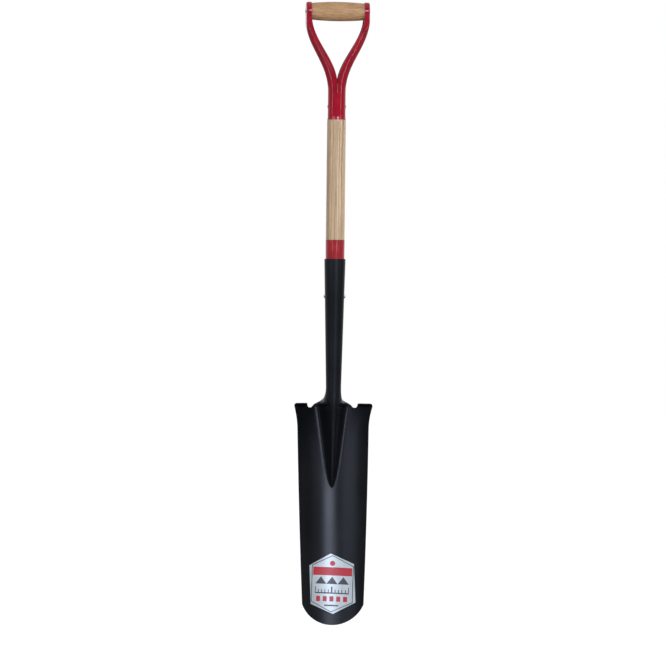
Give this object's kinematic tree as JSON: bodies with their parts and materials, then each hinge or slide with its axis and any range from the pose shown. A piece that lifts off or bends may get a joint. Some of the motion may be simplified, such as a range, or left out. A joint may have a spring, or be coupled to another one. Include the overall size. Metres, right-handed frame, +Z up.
{
  "type": "trenching spade",
  "caption": "Trenching spade: narrow gutter blade with turned steps and a rolled socket, an ash shaft and a riveted D grip, for digging and clearing trenches.",
  "frame": {"origin": "on the shaft's axis, in the middle of the bare wood where a rack's clip holds the spade upright", "axes": "+Z up the shaft towards the D grip, +X across the blade, -Y the way that the hollow of the blade faces"},
  "size_m": [0.1438, 0.0677, 1.14],
  "materials": {
    "blade_black": "satin black powder coat",
    "ash_wood": "clear-coated ash with long straight grain",
    "band_red": "thin red film",
    "yoke_red": "glossy red enamel on pressed steel",
    "rivet_steel": "bright zinc-plated steel",
    "rod_steel": "bright steel with red paint worn off its heads",
    "grip_wood": "clear-coated turned hardwood",
    "label_foil": "printed foil, bare of words"
  },
  "bodies": {
    "root": {"blade": "blade_black", "shaft": "ash_wood", "shaft_band": "band_red", "socket_rivet": "rivet_steel", "yoke": "yoke_red", "yoke_rivet": "yoke_red", "crossbar": "grip_wood", "crossbar_rod": "rod_steel", "label": "label_foil"}
  },
  "joints": []
}
